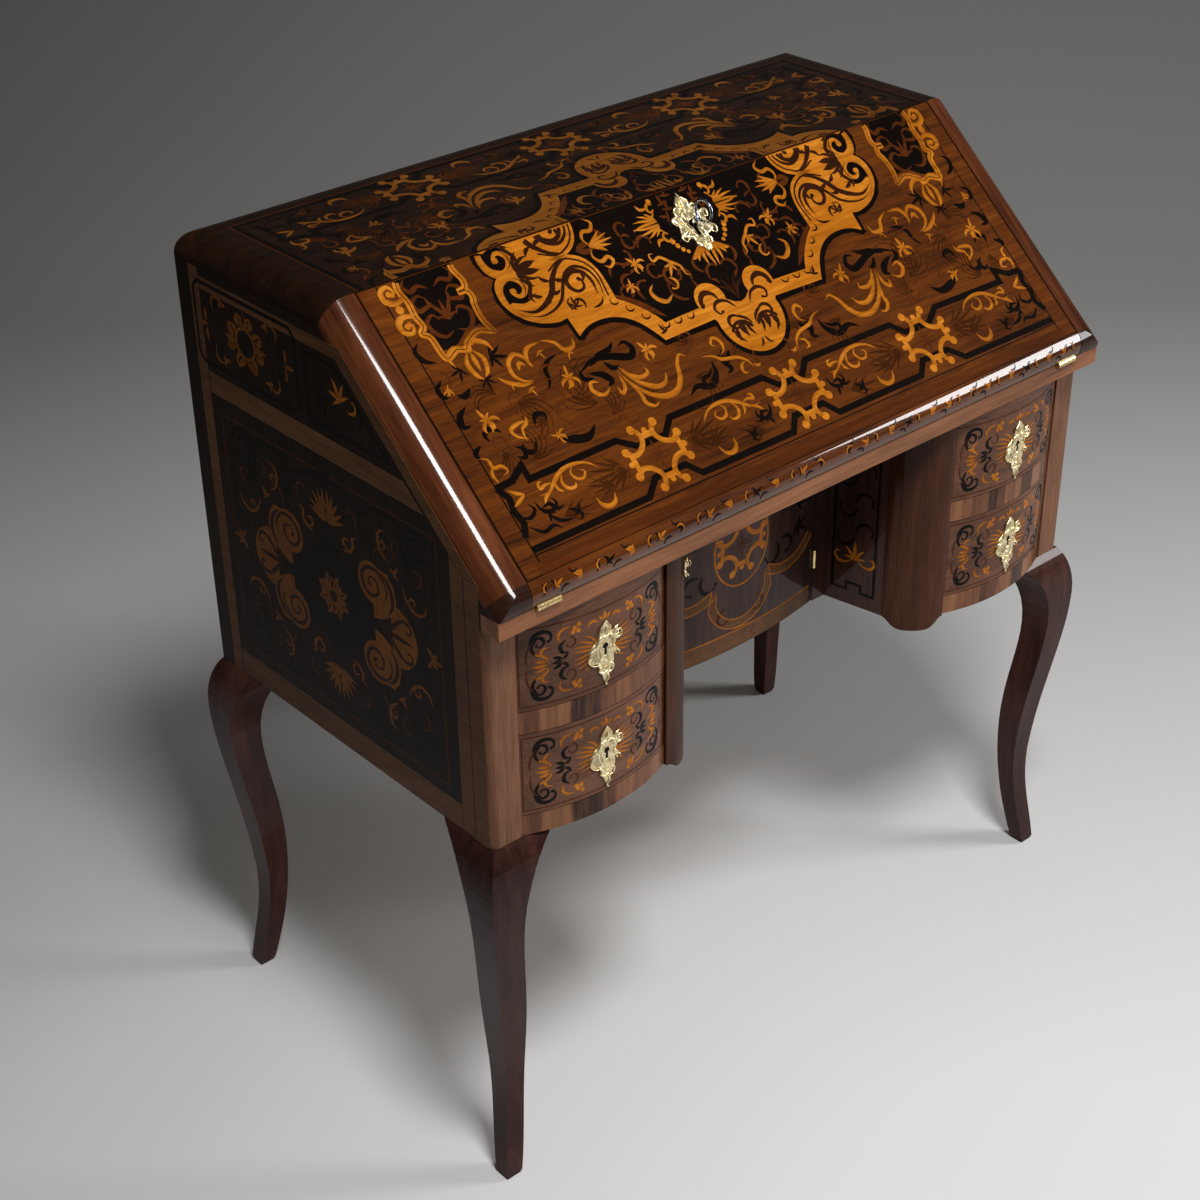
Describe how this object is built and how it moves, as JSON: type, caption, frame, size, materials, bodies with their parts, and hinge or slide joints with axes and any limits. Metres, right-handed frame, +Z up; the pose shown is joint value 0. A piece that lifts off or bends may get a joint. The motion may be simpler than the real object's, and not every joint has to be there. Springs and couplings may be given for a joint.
{
  "type": "fall-front secretary desk",
  "caption": "Fall-front secretary with a sloping fall over a writing bed, bow-fronted pedestal drawers, a recessed kneehole cupboard and slender cabriole legs",
  "frame": {"origin": "on the floor, under the middle of the desk's bounding box", "axes": "+X to the right for someone sitting at the desk and looking at it, +Y towards its back, +Z up; the drawers slide out along -Y"},
  "size_m": [0.956, 0.548, 0.9965],
  "materials": {
    "walnut": "gloss",
    "pale_walnut": "satin",
    "figured_rosewood": "gloss",
    "dark_rosewood": "gloss",
    "inner_wood": "matt",
    "brass": "polished",
    "steel": "burnished",
    "felt": "matt"
  },
  "bodies": {
    "carcass": {"top_board": "walnut", "left_side": "walnut", "right_side": "walnut", "slope_mouldings": "walnut", "end_blocks": "dark_rosewood", "back_panel": "inner_wood", "writing_bed": "inner_wood", "front_rail": "pale_walnut", "corner_stiles": "pale_walnut", "inner_posts": "walnut", "pedestal_rails": "figured_rosewood", "pedestal_walls": "inner_wood", "kneehole_panels": "figured_rosewood", "pedestal_floors": "inner_wood", "dust_boards": "inner_wood", "drawer_guides": "inner_wood", "cupboard_floor": "inner_wood", "cupboard_stiles": "figured_rosewood", "front_left_leg": "dark_rosewood", "front_right_leg": "dark_rosewood", "rear_left_leg": "dark_rosewood", "rear_right_leg": "dark_rosewood", "foot_pads": "felt", "fall_stops": "inner_wood", "nest_shelf": "inner_wood", "nest_partitions": "inner_wood", "fall_hinge_fixed_leaves": "brass", "fall_hinge_pins": "brass", "fixed_leaf_screws": "brass", "door_hinge_fixed_leaves": "brass"},
    "fall": {"fall_board": "figured_rosewood", "fall_hinge_moving_leaves": "brass", "moving_leaf_screws": "brass", "fall_lock": "brass", "fall_escutcheon": "brass"},
    "fall_bolt": {"fall_bolt": "brass"},
    "fall_key": {"fall_key": "steel"},
    "door": {"door_panel": "figured_rosewood", "door_hinge_moving_leaves": "brass", "door_lock": "brass", "door_escutcheon": "brass"},
    "left_upper_drawer": {"left_upper_drawer_front": "walnut", "left_upper_drawer_box": "inner_wood", "left_upper_drawer_lock": "brass", "left_upper_drawer_escutcheon": "brass"},
    "left_lower_drawer": {"left_lower_drawer_front": "walnut", "left_lower_drawer_box": "inner_wood", "left_lower_drawer_lock": "brass", "left_lower_drawer_escutcheon": "brass"},
    "right_upper_drawer": {"right_upper_drawer_front": "walnut", "right_upper_drawer_box": "inner_wood", "right_upper_drawer_lock": "brass", "right_upper_drawer_escutcheon": "brass"},
    "right_lower_drawer": {"right_lower_drawer_front": "walnut", "right_lower_drawer_box": "inner_wood", "right_lower_drawer_lock": "brass", "right_lower_drawer_escutcheon": "brass"},
    "left_nest_drawer": {"left_nest_drawer": "inner_wood"},
    "right_nest_drawer": {"right_nest_drawer": "inner_wood"}
  },
  "joints": [
    {"name": "fall_hinge", "type": "hinge", "parent": "carcass", "child": "fall", "pos_m": [0, -0.26896, 0.747], "axis": [1, 0, 0], "range_deg": [0, 139]},
    {"name": "key_turn", "type": "hinge", "parent": "fall", "child": "fall_key", "pos_m": [0, -0.03787, 0.94789], "axis": [0, -0.6561, 0.7547], "range_deg": [0, 180]},
    {"name": "bolt_slide", "type": "slide", "parent": "fall", "child": "fall_bolt", "axis": [0, 0.7547, 0.6561], "range_m": [0, 0.008]},
    {"name": "door_hinge", "type": "hinge", "parent": "carcass", "child": "door", "pos_m": [0.1365, -0.12636, 0.6], "axis": [0, 0, 1], "range_deg": [0, 100]},
    {"name": "left_upper_drawer_slide", "type": "slide", "parent": "carcass", "child": "left_upper_drawer", "axis": [0, -1, 0], "range_m": [0, 0.32]},
    {"name": "left_lower_drawer_slide", "type": "slide", "parent": "carcass", "child": "left_lower_drawer", "axis": [0, -1, 0], "range_m": [0, 0.32]},
    {"name": "right_upper_drawer_slide", "type": "slide", "parent": "carcass", "child": "right_upper_drawer", "axis": [0, -1, 0], "range_m": [0, 0.32]},
    {"name": "right_lower_drawer_slide", "type": "slide", "parent": "carcass", "child": "right_lower_drawer", "axis": [0, -1, 0], "range_m": [0, 0.32]},
    {"name": "left_nest_drawer_slide", "type": "slide", "parent": "carcass", "child": "left_nest_drawer", "axis": [0, -1, 0], "range_m": [0, 0.12]},
    {"name": "right_nest_drawer_slide", "type": "slide", "parent": "carcass", "child": "right_nest_drawer", "axis": [0, -1, 0], "range_m": [0, 0.12]}
  ],
  "couplings": [
    {"joint": "key_turn", "follows": "bolt_slide", "rad_per_m": 392.69}
  ]
}
